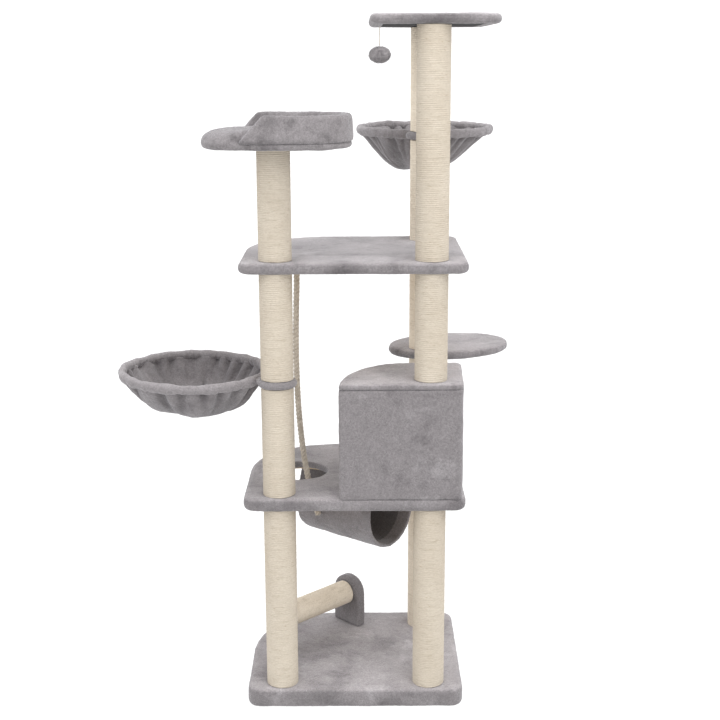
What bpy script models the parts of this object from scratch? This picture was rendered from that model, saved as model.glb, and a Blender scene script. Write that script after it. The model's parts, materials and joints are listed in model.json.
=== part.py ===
"""A tall cat tree: sisal posts, plush-covered platforms, a cave, a tunnel, two swivelling hammocks,
a lounge, a roller, a hanging rope and a pom-pom.

Metres, +Z up.  The origin is the centre of the base's underside; -Y is the front.
"""

import math

import bmesh
import bpy
from mathutils import Matrix, Vector

# ---------------------------------------------------------------- driving dimensions
WIDTH = 0.60
DEPTH = 0.52
CORNER_R = 0.035          # front corners and the back-right corner
BIG_CORNER_R = 0.245      # the sweeping back-left corner

POST_R = 0.044
POST_X = 0.204
FRONT_Y = -0.206
REAR_Y = 0.176
WRAP_THICKNESS = 0.006    # one layer of sisal rope
CORE_WALL = 0.004
STUD_R = 0.004
STUD_HOLE_R = 0.0052
PLUG_H = 0.022            # wooden plug in each end of a core
STUD_REACH = 0.016        # how far a stud enters the plug above
LOUNGE_STUD = 0.009       # blind studs, at the heads of the columns
TOP_STUD = 0.016
TOP_STUD_ROOF = 0.009     # what a blind hole leaves of the top platform
PAST = 0.010              # how far a cutter runs past the solid it cuts

GAP = 0.0003              # between pieces that touch

# Levels, bottom and top of each layer
BASE_TOP = 0.055
LOWER = (0.576, 0.612)
LEFT_JOINT = (0.911, 0.933)    # left hammock's collar
JOINT = (0.904, 0.930)         # round step
BOX_JOINT = (0.910, 0.930)     # cave's lid
MID = (1.220, 1.250)
LOUNGE_PLATE = (1.541, 1.556)
UPPER_JOINT = (1.535, 1.558)   # upper hammock's collar
TOP = (1.844, 1.870)

SIDE_PAD = 0.013          # padded plush round a board's edge
PLUSH = 0.005             # plush on a board's faces
HEM = 0.035               # plush folded under a board
EDGE_R = 0.011
EDGE_FLAT = 0.0005        # least height of the straight part between two rounded edges
FLOOR_GAP = 0.001         # the base's cover stops just above the floor
LINER_RECESS = 0.0012

LEFT_FRONT = (-POST_X, FRONT_Y)
RIGHT_FRONT = (POST_X, FRONT_Y)
RIGHT_REAR = (POST_X, REAR_Y)

# Parts of the tree
HOLE_CENTRE = (-0.160, -0.008)
HOLE_R = 0.082
HOLE_FLARE = (0.120, 0.594)      # radius underneath, and the level where the flare starts

BOX_X = (-0.041, 0.290)   # along the front
BOX_FLARE = 0.010         # the right wall leans out this much towards the back
BOX_Y = (-0.260, -0.006)
BOX_CURVE_X = 0.155       # where the curved wall meets the straight back
BOX_WALL = 0.008
BOX_CORNER_R = 0.020
ENTRANCE_R = 0.085
ENTRANCE_AT = (0.135, -0.190, 0.735)     # a point on the doorway's axis
ENTRANCE_FACING = (-0.74, 0.67, 0)
ENTRANCE_REACH = (0.02, 0.35)            # the stretch of the axis that crosses the wall

STEP_CENTRE = (0.281, 0.254)
STEP_SEMI = (0.186, 0.132)
STEP_TURN = math.radians(20)

LOUNGE_CENTRE = (-0.194, -0.206)
LOUNGE_SEMI = (0.194, 0.140)
LOUNGE_WALL = 0.028
LOUNGE_WALL_TOP = 1.6265
LOUNGE_SEAT_TOP = 1.589
LOUNGE_WALL_FOOT_X = -0.2995     # the bolster's two ends slant up from here
LOUNGE_WALL_SLOPE = math.radians(48)
LOUNGE_WALL_SKEW = math.radians(7.2)     # its back end reaches further left than its front end
LOUNGE_PLATE_INSET = 0.004
LOUNGE_PLATE_EDGE = 0.006
LOUNGE_STUD_ROOF = 0.004
BOLSTER_EDGE_R = 0.010
SEAT_INSET = 0.006
SEAT_EDGE_R = 0.012
SEAT_CLEARANCE = 0.001           # between the seat and the bolster round it
FAR = 1.0                        # half the size of a block that cuts everything on one side

TOP_X = (0.043, 0.371)
TOP_Y = (-0.258, 0.230)
TOP_CORNER_R = 0.030

TUNNEL_MOUTH = (0.101, -0.115)   # middle of the front mouth
TUNNEL_TURN = math.radians(-39.5)
TUNNEL_LENGTH = 0.269
TUNNEL_HALF_W = 0.0975
TUNNEL_DROP = 0.154
TUNNEL_WALL = 0.010
TUNNEL_GUARD = (0.138, 0.160, 0.080)     # far wall's stretch behind the hole: length at its top and
                                         # at its foot, and height

HAMMOCK_R = 0.196
HAMMOCK_REACH = 0.262     # post axis to the middle of the ring
HAMMOCK_TILT = math.radians(1)   # the ring's far side stands a little higher
LEFT_HAMMOCK_ANGLE = math.radians(153.6)
UPPER_HAMMOCK_ANGLE = math.radians(88)
LEFT_HAMMOCK_DEPTH = 0.092
UPPER_HAMMOCK_DEPTH = 0.110
LEFT_HAMMOCK_BELLY = (0.985, 0.84, 0.60)     # the basket's radius on its way down, as shares of the ring's
UPPER_HAMMOCK_BELLY = (0.92, 0.66, 0.38)
RING_WIRE_R = 0.004
RING_STEPS = 24
COLLAR_R = 0.054
COLLAR_EDGE = 0.006
ARM_OVERLAP = 0.012       # of the ring's arm with its collar
ARM_SLOT = ((0.0, 0.030), (-0.006, 0.006), (-0.012, 0.0045))   # in the basket, beyond the ring

ROLLER_TURN = math.radians(45)
ROLLER_MIDDLE = (-0.117, 0.092)
ROLLER_Z = 0.158
ROLLER_R = 0.036
ROLLER_LENGTH = 0.238
ROLLER_SPAN = 0.244       # between the two plates
PLATE_W = 0.106
PLATE_H = 0.154
PLATE_T = 0.032
PLATE_EDGE_R = 0.006
AXLE_R = 0.004
AXLE_REACH = 0.014
AXLE_PLAY = 0.0006        # round the axle
AXLE_END_PLAY = 0.002

ROPE_R = 0.0075
ROPE_POINTS = [
    (-0.1570, -0.030, 1.2155), (-0.1575, -0.031, 1.160), (-0.1600, -0.034, 1.080),
    (-0.1615, -0.038, 0.990), (-0.1600, -0.043, 0.890), (-0.1550, -0.050, 0.790),
    (-0.1450, -0.059, 0.690), (-0.1335, -0.0665, 0.620), (-0.1245, -0.0715, 0.576),
    (-0.1115, -0.0800, 0.535), (-0.1040, -0.0857, 0.508),
]
ROPE_STEPS_PER_SPAN = 3
ROPE_CUP_R = 0.015
ROPE_CUP_H = 0.012

ROPE_SLACK = 0.003        # between the rope's top end and the wall of its cup
ROPE_HEADROOM = 0.0018

POM_XY = (0.068, -0.220)
STAPLE_R = 0.004
STAPLE_WIRE_R = 0.0008
STRING_R = 0.0014
STRING_TOP = 1.8368
STRING_BOTTOM = 1.7915
POM_GAP = 0.001           # lets the pom-pom tilt under the string's end
POM_SEMI = (0.028, 0.026, 0.021)

# ---------------------------------------------------------------- materials
PALETTE = {
    "plush": ((0.36, 0.34, 0.355), 0.95, 0.0),
    "liner": ((0.06, 0.06, 0.065), 0.9, 0.0),
    "board": ((0.52, 0.40, 0.27), 0.8, 0.0),
    "cardboard": ((0.42, 0.30, 0.19), 0.9, 0.0),
    "sisal": ((0.80, 0.70, 0.53), 0.9, 0.0),
    "rope": ((0.52, 0.45, 0.38), 0.9, 0.0),
    "steel": ((0.55, 0.55, 0.56), 0.35, 1.0),
    "string": ((0.33, 0.32, 0.33), 0.9, 0.0),
}


def clear_scene():
    for obj in list(bpy.data.objects):
        bpy.data.objects.remove(obj, do_unlink=True)


def make_collection(name):
    collection = bpy.data.collections.new(name)
    bpy.context.scene.collection.children.link(collection)
    return collection


def material_for(name, kind):
    colour, roughness, metallic = PALETTE[kind]
    material = bpy.data.materials.new(name)
    material.use_nodes = True
    shader = material.node_tree.nodes["Principled BSDF"]
    shader.inputs["Base Color"].default_value = (*colour, 1.0)
    shader.inputs["Roughness"].default_value = roughness
    shader.inputs["Metallic"].default_value = metallic
    material.diffuse_color = (*colour, 1.0)
    return material


clear_scene()
TREE = make_collection("cat_tree")


def as_part(obj, name, kind):
    """Names a finished object, gives it its material and files it with the parts."""
    obj.name = name
    obj.data.name = name
    obj.data.materials.clear()
    obj.data.materials.append(material_for(name, kind))
    file_under(obj, TREE)
    obj.data.shade_smooth()
    obj.data.set_sharp_from_angle(angle=math.radians(35))
    return obj


def file_under(obj, collection):
    for other in list(obj.users_collection):
        other.objects.unlink(obj)
    collection.objects.link(obj)


def cut(obj, cutter, operation="DIFFERENCE"):
    """Applies one exact Boolean at once and removes the other solid."""
    modifier = obj.modifiers.new("cut", "BOOLEAN")
    modifier.operation = operation
    modifier.solver = "EXACT"
    modifier.object = cutter
    bake(obj)
    bpy.data.objects.remove(cutter, do_unlink=True)
    return obj


def bake(obj):
    """Replaces an object's mesh by its evaluated mesh in world space, and clears its modifiers."""
    bpy.context.view_layer.update()
    evaluated = obj.evaluated_get(bpy.context.evaluated_depsgraph_get())
    mesh = bpy.data.meshes.new_from_object(evaluated)
    mesh.transform(obj.matrix_world)
    obj.modifiers.clear()
    obj.data = mesh
    obj.matrix_world = Matrix.Identity(4)
    return obj


def weld(mesh, distance=1e-5):
    solid = bmesh.new()
    solid.from_mesh(mesh)
    bmesh.ops.remove_doubles(solid, verts=solid.verts, dist=distance)
    bmesh.ops.dissolve_degenerate(solid, edges=solid.edges, dist=distance)
    bmesh.ops.recalc_face_normals(solid, faces=solid.faces)
    solid.to_mesh(mesh)
    solid.free()


# ---------------------------------------------------------------- outlines
def arc(centre, radius, start, end, steps):
    """Points along a circular arc, angles in degrees."""
    return [
        (
            centre[0] + radius * math.cos(math.radians(start + (end - start) * i / steps)),
            centre[1] + radius * math.sin(math.radians(start + (end - start) * i / steps)),
        )
        for i in range(steps + 1)
    ]


def rounded_box(x_span, y_span, inset, radii, steps):
    """A rectangle with one corner radius each, from front-left, anticlockwise."""
    x0, x1 = x_span[0] + inset, x_span[1] - inset
    y0, y1 = y_span[0] + inset, y_span[1] - inset
    corners = [(x0, y0, 180), (x1, y0, 270), (x1, y1, 0), (x0, y1, 90)]
    signs = [(1, 1), (-1, 1), (-1, -1), (1, -1)]
    points = []
    for (x, y, start), (sx, sy), radius, count in zip(corners, signs, radii, steps):
        r = max(radius - inset, 0.004)
        points += arc((x + sx * r, y + sy * r), r, start, start + 90, count)
    return points


def platform_outline(inset):
    return rounded_box(
        (-WIDTH / 2, WIDTH / 2), (-DEPTH / 2, DEPTH / 2), inset,
        (CORNER_R, CORNER_R, CORNER_R, BIG_CORNER_R), (4, 4, 4, 9),
    )


def top_outline(inset):
    return rounded_box(TOP_X, TOP_Y, inset, (TOP_CORNER_R,) * 4, (4,) * 4)


def ellipse(centre, semi, turn, inset, steps=28):
    points = []
    for i in range(steps):
        angle = 2 * math.pi * i / steps
        x = (semi[0] - inset) * math.cos(angle)
        y = (semi[1] - inset) * math.sin(angle)
        points.append((
            centre[0] + x * math.cos(turn) - y * math.sin(turn),
            centre[1] + x * math.sin(turn) + y * math.cos(turn),
        ))
    return points


def step_outline(inset):
    return ellipse(STEP_CENTRE, STEP_SEMI, STEP_TURN, inset)


def lounge_outline(inset):
    """A long oval, fuller than an ellipse."""
    power = 2.5
    points = []
    steps = 32
    for i in range(steps):
        c, s = math.cos(2 * math.pi * i / steps), math.sin(2 * math.pi * i / steps)
        points.append((
            LOUNGE_CENTRE[0] + (LOUNGE_SEMI[0] - inset) * math.copysign(abs(c) ** (2 / power), c),
            LOUNGE_CENTRE[1] + (LOUNGE_SEMI[1] - inset) * math.copysign(abs(s) ** (2 / power), s),
        ))
    return points


def box_outline(inset):
    """Front and right walls are straight; the back-left wall is a quarter ellipse."""
    x0, x1 = BOX_X[0] + inset, BOX_X[1] - inset
    y0, y1 = BOX_Y[0] + inset, BOX_Y[1] - inset
    corner = max(BOX_CORNER_R - inset, 0.004)
    points = [(x0, y0)]
    points += arc((x1 - corner, y0 + corner), corner, 270, 360, 3)
    points += arc((x1 + BOX_FLARE - corner, y1 - corner), corner, 0, 90, 3)
    steps = 10
    for i in range(steps):
        angle = math.radians(90 + 90 * i / steps)
        points.append((
            BOX_CURVE_X + (BOX_CURVE_X - x0) * math.cos(angle),
            y0 + (y1 - y0) * math.sin(angle),
        ))
    return points


def plate(outline, bottom, top, edge=0.0):
    """A flat solid from an outline, with its edges rounded by edge."""
    curve = bpy.data.curves.new("outline", "CURVE")
    curve.dimensions = "2D"
    curve.fill_mode = "BOTH"
    curve.extrude = (top - bottom) / 2 - edge
    curve.bevel_depth = edge
    curve.bevel_resolution = 1
    curve.offset = -edge
    spline = curve.splines.new("POLY")
    spline.points.add(len(outline) - 1)
    for point, (x, y) in zip(spline.points, outline):
        point.co = (x, y, 0, 1)
    spline.use_cyclic_u = True
    source = bpy.data.objects.new("outline", curve)
    bpy.context.scene.collection.objects.link(source)
    source.location.z = (top + bottom) / 2
    return mesh_from_curve(source)


def mesh_from_curve(source):
    bpy.context.view_layer.update()
    mesh = bpy.data.meshes.new_from_object(source.evaluated_get(bpy.context.evaluated_depsgraph_get()))
    mesh.transform(source.matrix_world)
    weld(mesh)
    bpy.data.objects.remove(source, do_unlink=True)
    obj = bpy.data.objects.new("solid", mesh)
    bpy.context.scene.collection.objects.link(obj)
    return obj


def turned(profile, steps, matrix=None):
    """A solid of revolution about Z from a closed ring of (radius, height) points, down the outer side first.

    A stretch of the profile that lies on the axis makes no surface."""
    mesh = bpy.data.meshes.new("profile")
    pairs = [(i, (i + 1) % len(profile)) for i in range(len(profile))]
    edges = [(a, b) for a, b in pairs if profile[a][0] > 0 or profile[b][0] > 0]
    mesh.from_pydata([(r, 0, z) for r, z in profile], edges, [])
    obj = bpy.data.objects.new("turned", mesh)
    bpy.context.scene.collection.objects.link(obj)
    screw = obj.modifiers.new("turn", "SCREW")
    screw.steps = screw.render_steps = steps
    screw.use_merge_vertices = True
    screw.merge_threshold = 1e-5
    bake(obj)
    weld(obj.data)
    if matrix is not None:
        obj.data.transform(matrix)
    return obj


def cylinder(radius, bottom, top, x=0.0, y=0.0, sides=16, matrix=None):
    bpy.ops.mesh.primitive_cylinder_add(
        vertices=sides, radius=radius, depth=top - bottom, location=(x, y, (top + bottom) / 2)
    )
    obj = bake(bpy.context.object)
    if matrix is not None:
        obj.data.transform(matrix)
    return obj


def block(x_span, y_span, z_span, matrix=None):
    bpy.ops.mesh.primitive_cube_add(size=1)
    obj = bpy.context.object
    obj.scale = (x_span[1] - x_span[0], y_span[1] - y_span[0], z_span[1] - z_span[0])
    obj.location = ((x_span[0] + x_span[1]) / 2, (y_span[0] + y_span[1]) / 2, (z_span[0] + z_span[1]) / 2)
    bake(obj)
    if matrix is not None:
        obj.data.transform(matrix)
    return obj


def move_origin(obj, point):
    """Puts an object's origin on its joint's axis without moving its mesh."""
    obj.data.transform(Matrix.Translation(-Vector(point)))
    obj.location = point
    return obj


# ---------------------------------------------------------------- posts
def post(column, name, bottom, top, stud_to):
    """One post: a cardboard core with wooden plugs and a stud, in a sleeve of wound sisal rope.

    stud_to is how far the stud stands above the post."""
    x, y = column
    place = Matrix.Translation((x, y, 0))
    low, high = bottom + GAP, top - GAP
    core_r = POST_R - WRAP_THICKNESS - GAP
    bore_r = core_r - CORE_WALL
    profile = [
        (0, high + stud_to), (STUD_R, high + stud_to), (STUD_R, high), (core_r, high), (core_r, low), (STUD_HOLE_R, low), (STUD_HOLE_R, low + PLUG_H),
        (bore_r, low + PLUG_H), (bore_r, high - PLUG_H), (0, high - PLUG_H),
    ]
    as_part(turned(profile, 12, matrix=place), name + "_core", "cardboard")
    sleeve = [(POST_R, high), (POST_R, low), (core_r + GAP, low), (core_r + GAP, high)]
    as_part(turned(sleeve, 24, matrix=place), name + "_sisal", "sisal")


def column_of_posts(column, name, layers, head_stud):
    """Posts from the base upwards, one under each layer; their studs run through into the next post."""
    bottom = BASE_TOP
    for i, (low, high) in enumerate(layers, 1):
        stud = head_stud if i == len(layers) else high - low + STUD_REACH
        post(column, f"{name}_{i}", bottom, low, stud)
        bottom = high


def posts():
    column_of_posts(LEFT_FRONT, "post_left", (LOWER, LEFT_JOINT, MID, LOUNGE_PLATE), LOUNGE_STUD)
    column_of_posts(RIGHT_FRONT, "post_right", (LOWER, BOX_JOINT, MID, TOP), TOP_STUD)
    column_of_posts(RIGHT_REAR, "post_rear", (LOWER, JOINT, MID, UPPER_JOINT, TOP), TOP_STUD)


# ---------------------------------------------------------------- boards in plush covers
def stud_holes(obj, columns, bottom, top):
    for x, y in columns:
        cut(obj, cylinder(STUD_HOLE_R, bottom, top, x, y, 12))


def well_cutter(x, y, radius, low, high):
    """The space of a round hole that flares towards the underside."""
    wide, start = HOLE_FLARE
    profile = [(0, high + PAST), (radius, high + PAST), (radius, start), (wide, low), (wide, low - PAST)]
    return turned(profile + [(0, low - PAST)], 28, matrix=Matrix.Translation((x, y, 0)))


def covered_board(name, outline, layer, columns, hem=True, well=None, blind=0.0):
    """A board in a padded plush cover, open underneath inside its hem.

    columns are the posts whose studs pass through; with blind they stop that far short of the top.
    well is (x, y, radius) of a hole right through.  Without a hem the board itself carries the studs."""
    low, high = layer
    board_low = low + PLUSH if hem else low
    board = plate(outline(SIDE_PAD + GAP), board_low + (GAP if hem else 0), high - PLUSH - GAP)
    edge = min(EDGE_R, (high - low) / 2 - EDGE_FLAT)
    cover = plate(outline(0), low if hem else low + FLOOR_GAP, high, edge)
    cut(cover, plate(outline(SIDE_PAD), board_low if hem else low - PAST, high - PLUSH))
    if hem:
        cut(cover, plate(outline(HEM), low - PAST, board_low + PLUSH / 2))
    if well:
        x, y, radius = well
        lining = radius + SIDE_PAD / 2
        cut(cover, cylinder(lining, low, high, x, y, 28), "UNION")
        cut(cover, well_cutter(x, y, radius, low, high))
        cut(board, well_cutter(x, y, lining + GAP, low, high))
    for piece in (board, cover) if hem else (cover,):
        stud_holes(piece, columns, low - PAST, high - blind if blind else high + PAST)
    if not hem:
        for x, y in columns:
            cut(board, cylinder(STUD_R, (low + high) / 2, high + STUD_REACH, x, y, 12), "UNION")
    as_part(board, name + "_board", "board")
    as_part(cover, name + "_cover", "plush")
    return cover


def platforms():
    three = [LEFT_FRONT, RIGHT_FRONT, RIGHT_REAR]
    covered_board("base", platform_outline, (0.0, BASE_TOP), three, hem=False)
    covered_board("lower_platform", platform_outline, LOWER, three, well=(*HOLE_CENTRE, HOLE_R))
    covered_board("mid_platform", platform_outline, MID, three)
    covered_board("top_platform", top_outline, TOP, [RIGHT_FRONT, RIGHT_REAR], blind=TOP_STUD_ROOF)
    liner = plate(top_outline(HEM + GAP), TOP[0] + LINER_RECESS, TOP[0] + PLUSH - GAP)
    stud_holes(liner, [RIGHT_FRONT, RIGHT_REAR], TOP[0] - PAST, TOP[1])
    as_part(liner, "top_platform_liner", "liner")
    covered_board("round_step", step_outline, JOINT, [RIGHT_REAR])


# ---------------------------------------------------------------- the cave
def box():
    low, high = LOWER[1] + GAP, BOX_JOINT[0] - GAP
    walls = plate(box_outline(0), low, high)
    cut(walls, plate(box_outline(BOX_WALL), low - PAST, high + PAST))
    doorway = Vector(ENTRANCE_FACING).to_track_quat("Z", "Y").to_matrix().to_4x4()
    doorway.translation = ENTRANCE_AT
    cut(walls, cylinder(ENTRANCE_R, *ENTRANCE_REACH, sides=24, matrix=doorway))
    as_part(walls, "box_walls", "plush")
    covered_board("box_top", box_outline, BOX_JOINT, [RIGHT_FRONT])


# ---------------------------------------------------------------- the tunnel
def tunnel_section(inset):
    """A U: straight sides down from the platform, then a half circle."""
    r = TUNNEL_HALF_W - inset
    straight = TUNNEL_DROP - TUNNEL_HALF_W
    return [(r, 0.0)] + [(x, y) for x, y in arc((0, -straight), r, 360, 180, 14)] + [(-r, 0.0)]


def tunnel():
    outer = tunnel_section(0)
    inner = tunnel_section(TUNNEL_WALL)
    shell = plate((outer + inner[::-1])[::-1], 0, TUNNEL_LENGTH)
    top_length, foot_length, height = TUNNEL_GUARD
    guard = plate([(0.001, 0), (-top_length, 0), (-foot_length, -height), (0.001, -height)],
                  TUNNEL_HALF_W - TUNNEL_WALL, TUNNEL_HALF_W)
    guard.data.transform(Matrix(((0, 0, 1, 0), (0, 1, 0, 0), (1, 0, 0, 0), (0, 0, 0, 1))))
    weld(guard.data)
    cut(shell, guard, "UNION")
    axis = Vector((math.cos(TUNNEL_TURN), math.sin(TUNNEL_TURN), 0))
    side = Vector((-axis.y, axis.x, 0))
    up = Vector((0, 0, 1))
    place = Matrix((side, up, axis)).transposed().to_4x4()
    place.translation = Vector((*TUNNEL_MOUTH, LOWER[0] - GAP)) - axis * TUNNEL_LENGTH
    shell.data.transform(place)
    weld(shell.data)
    as_part(shell, "tunnel_shell", "plush")


# ---------------------------------------------------------------- the lounge
def lounge():
    low, high = LOUNGE_PLATE
    base = plate(lounge_outline(LOUNGE_PLATE_INSET), low, high, LOUNGE_PLATE_EDGE)
    x, y = LEFT_FRONT
    cut(base, cylinder(STUD_HOLE_R, low - PAST, high - LOUNGE_STUD_ROOF, x, y, 12))
    as_part(base, "lounge_plate", "plush")

    wall_low = high + GAP
    wall = plate(lounge_outline(0), wall_low - 2 * BOLSTER_EDGE_R, LOUNGE_WALL_TOP, BOLSTER_EDGE_R)
    cut(wall, plate(lounge_outline(LOUNGE_WALL), low - PAST, LOUNGE_WALL_TOP + PAST))
    cut(wall, block((-FAR, FAR), (-FAR, FAR), (wall_low - FAR, wall_low)))
    open_end = Matrix.Translation((LOUNGE_WALL_FOOT_X, LOUNGE_CENTRE[1], wall_low)) @ Matrix.Rotation(
        LOUNGE_WALL_SKEW, 4, "Z")
    slope = open_end @ Matrix.Rotation(math.pi / 2 - LOUNGE_WALL_SLOPE, 4, "Y")
    cut(wall, block((-FAR, 0), (-FAR, FAR), (-FAR, FAR), matrix=slope))
    as_part(wall, "lounge_bolster", "plush")

    seat = plate(lounge_outline(SEAT_INSET), wall_low, LOUNGE_SEAT_TOP, SEAT_EDGE_R)
    rim = plate(lounge_outline(-PAST), wall_low - PAST, LOUNGE_WALL_TOP)
    cut(rim, plate(lounge_outline(LOUNGE_WALL + SEAT_CLEARANCE), low - PAST, LOUNGE_WALL_TOP + PAST))
    cut(rim, block((-FAR, -2 * SEAT_CLEARANCE), (-FAR, FAR), (-FAR, FAR), matrix=open_end))
    cut(seat, rim)
    as_part(seat, "lounge_seat", "plush")


# ---------------------------------------------------------------- hammocks
def basket_profile(depth, belly):
    """Outer side from the hem down to the middle, then back up inside, under the folded hem."""
    r, d = HAMMOCK_R, depth
    high, middle, low = (r * share for share in belly)
    return [
        (r - 0.0105, 0.006), (r - 0.004, 0.0112), (r + 0.004, 0.0112), (r + 0.0105, 0.005),
        (r + 0.0105, -0.007), (high, -0.026), (middle, -d * 0.68), (low, -d * 0.94),
        (0, -d), (0, -d + 0.006), (low - 0.004, -d * 0.94 + 0.007), (middle - 0.006, -d * 0.68 + 0.005),
        (high - 0.007, -0.023), (r + 0.0048, -0.006), (r + 0.0048, 0.0050), (r - 0.0048, 0.0050),
        (r - 0.0048, -0.010), (r - 0.0105, -0.010),
    ]


def hammock(name, column, layer, angle, depth, belly):
    """A wire ring on a collar clamped between two posts, and a fabric basket hemmed over it."""
    x, y = column
    level = (layer[0] + layer[1]) / 2
    pivot = (x, y, level)
    to_post = (
        Matrix.Translation(pivot) @ Matrix.Rotation(angle + math.pi, 4, "Z")
        @ Matrix.Rotation(HAMMOCK_TILT, 4, "Y") @ Matrix.Translation((-HAMMOCK_REACH, 0, 0))
    )

    section = [
        (HAMMOCK_R + RING_WIRE_R * math.cos(a), RING_WIRE_R * math.sin(a))
        for a in (math.radians(-60 * i) for i in range(6))
    ]
    ring = turned(section, RING_STEPS, matrix=to_post)
    lying = Matrix.Rotation(math.pi / 2, 4, "Y")
    collar_side = HAMMOCK_REACH - COLLAR_R
    arm_in, arm_out = HAMMOCK_R - RING_WIRE_R / 4, collar_side + ARM_OVERLAP
    cut(ring, cylinder(RING_WIRE_R * 0.9, arm_in, arm_out, sides=8, matrix=to_post @ lying), "UNION")
    move_origin(as_part(ring, name + "_frame", "steel"), pivot)

    basket = turned(basket_profile(depth, belly), RING_STEPS, matrix=to_post)
    beyond_ring = to_post @ Matrix.Translation((HAMMOCK_R, 0, 0))
    cut(basket, block(*ARM_SLOT, matrix=beyond_ring))
    move_origin(as_part(basket, name + "_basket", "plush"), pivot)

    low, high = layer[0] + GAP, layer[1] - GAP
    rim = [
        (STUD_HOLE_R, high), (COLLAR_R - COLLAR_EDGE, high), (COLLAR_R, high - COLLAR_EDGE),
        (COLLAR_R, low + COLLAR_EDGE), (COLLAR_R - COLLAR_EDGE, low), (STUD_HOLE_R, low),
    ]
    collar = turned(rim, 28, matrix=Matrix.Translation((x, y, 0)))
    pocket = cylinder(
        RING_WIRE_R + GAP, collar_side - PAST, arm_out + GAP, sides=8, matrix=to_post @ lying
    )
    cut(collar, pocket)
    move_origin(as_part(collar, name + "_collar", "plush"), pivot)


# ---------------------------------------------------------------- the roller
def roller():
    x, y = ROLLER_MIDDLE
    along = Matrix.Translation((x, y, ROLLER_Z)) @ Matrix.Rotation(ROLLER_TURN, 4, "Z") @ Matrix.Rotation(
        math.pi / 2, 4, "Y")
    half, span = ROLLER_LENGTH / 2, ROLLER_SPAN / 2
    core_r = ROLLER_R - WRAP_THICKNESS - GAP
    end = span + AXLE_REACH
    profile = [
        (0, end), (AXLE_R, end), (AXLE_R, half), (core_r, half),
        (core_r, -half), (AXLE_R, -half), (AXLE_R, -end), (0, -end),
    ]
    core = turned(profile, 16, matrix=along)
    move_origin(as_part(core, "roller_core", "cardboard"), (x, y, ROLLER_Z))
    sleeve = [(ROLLER_R, half), (ROLLER_R, -half), (core_r + GAP, -half), (core_r + GAP, half)]
    move_origin(as_part(turned(sleeve, 24, matrix=along), "roller_sisal", "sisal"), (x, y, ROLLER_Z))

    foot = BASE_TOP + GAP - ROLLER_Z
    crown = PLATE_H - (PLATE_W / 2) + foot
    outline = [(PLATE_W / 2, foot)] + arc((0, crown), PLATE_W / 2, 0, 180, 12) + [(-PLATE_W / 2, foot)]
    upright = Matrix.Translation((x, y, ROLLER_Z)) @ Matrix.Rotation(ROLLER_TURN, 4, "Z") @ Matrix(
        ((0, 0, 1, 0), (1, 0, 0, 0), (0, 1, 0, 0), (0, 0, 0, 1)))
    for name, start in (("roller_plate_left", -span - PLATE_T), ("roller_plate_right", span)):
        panel = plate(outline, start, start + PLATE_T, PLATE_EDGE_R)
        panel.data.transform(upright)
        bore_end = end + AXLE_END_PLAY
        cut(panel, cylinder(AXLE_R + AXLE_PLAY, -bore_end, bore_end, sides=16, matrix=along))
        as_part(panel, name, "plush")


# ---------------------------------------------------------------- rope and pom-pom
def smooth_route(points, steps):
    """Points on a Catmull-Rom curve through the given points."""
    route = [Vector(p) for p in points]
    padded = [2 * route[0] - route[1]] + route + [2 * route[-1] - route[-2]]
    result = []
    for a, b, c, d in zip(padded, padded[1:], padded[2:], padded[3:]):
        for i in range(steps):
            t = i / steps
            result.append(0.5 * (2 * b + (c - a) * t + (2 * a - 5 * b + 4 * c - d) * t * t
                                 + (3 * b - a - 3 * c + d) * t ** 3))
    return result + [route[-1]]


def tube(points, radius, resolution):
    curve = bpy.data.curves.new("tube", "CURVE")
    curve.dimensions = "3D"
    curve.bevel_depth = radius
    curve.bevel_resolution = resolution
    curve.use_fill_caps = True
    spline = curve.splines.new("POLY")
    spline.points.add(len(points) - 1)
    for point, place in zip(spline.points, points):
        point.co = (*place, 1)
    source = bpy.data.objects.new("tube", curve)
    bpy.context.scene.collection.objects.link(source)
    return mesh_from_curve(source)


def rope():
    top = ROPE_POINTS[0]
    cup_low, cup_high = MID[0] - ROPE_CUP_H, MID[0] - GAP
    hole_r, hole_top = ROPE_R + ROPE_SLACK, top[2] + ROPE_HEADROOM
    cup = turned([
        (0, cup_high), (ROPE_CUP_R, cup_high), (ROPE_CUP_R, cup_low), (hole_r, cup_low),
        (hole_r, hole_top), (0, hole_top),
    ], 16, matrix=Matrix.Translation((top[0], top[1], 0)))
    as_part(cup, "rope_cup", "board")
    body = tube(smooth_route(ROPE_POINTS, ROPE_STEPS_PER_SPAN), ROPE_R, 2)
    move_origin(as_part(body, "rope", "rope"), top)


def pompom():
    x, y = POM_XY
    staple_high = TOP[0] - GAP
    hoop = [
        (x + STAPLE_R * math.cos(a), y, staple_high - 0.001 + STAPLE_R * math.sin(a))
        for a in (math.radians(180 + 180 * i / 8) for i in range(9))
    ]
    legs = [(hoop[0][0], y, staple_high)] + hoop + [(hoop[-1][0], y, staple_high)]
    as_part(tube(legs, STAPLE_WIRE_R, 1), "pompom_staple", "steel")
    string = tube([(x, y, STRING_TOP + (STRING_BOTTOM - STRING_TOP) * i / 8) for i in range(9)], STRING_R, 2)
    move_origin(as_part(string, "pompom_string", "string"), (x, y, STRING_TOP))
    bpy.ops.mesh.primitive_uv_sphere_add(segments=16, ring_count=10)
    ball = bpy.context.object
    ball.scale = POM_SEMI
    ball.location = (x, y, STRING_BOTTOM - POM_GAP - POM_SEMI[2])
    bake(ball)
    move_origin(as_part(ball, "pompom", "plush"), (x, y, STRING_BOTTOM))


platforms()
posts()
box()
tunnel()
lounge()
hammock("left_hammock", LEFT_FRONT, LEFT_JOINT, LEFT_HAMMOCK_ANGLE, LEFT_HAMMOCK_DEPTH, LEFT_HAMMOCK_BELLY)
hammock(
    "upper_hammock", RIGHT_REAR, UPPER_JOINT, UPPER_HAMMOCK_ANGLE, UPPER_HAMMOCK_DEPTH, UPPER_HAMMOCK_BELLY)
roller()
rope()
pompom()
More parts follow.
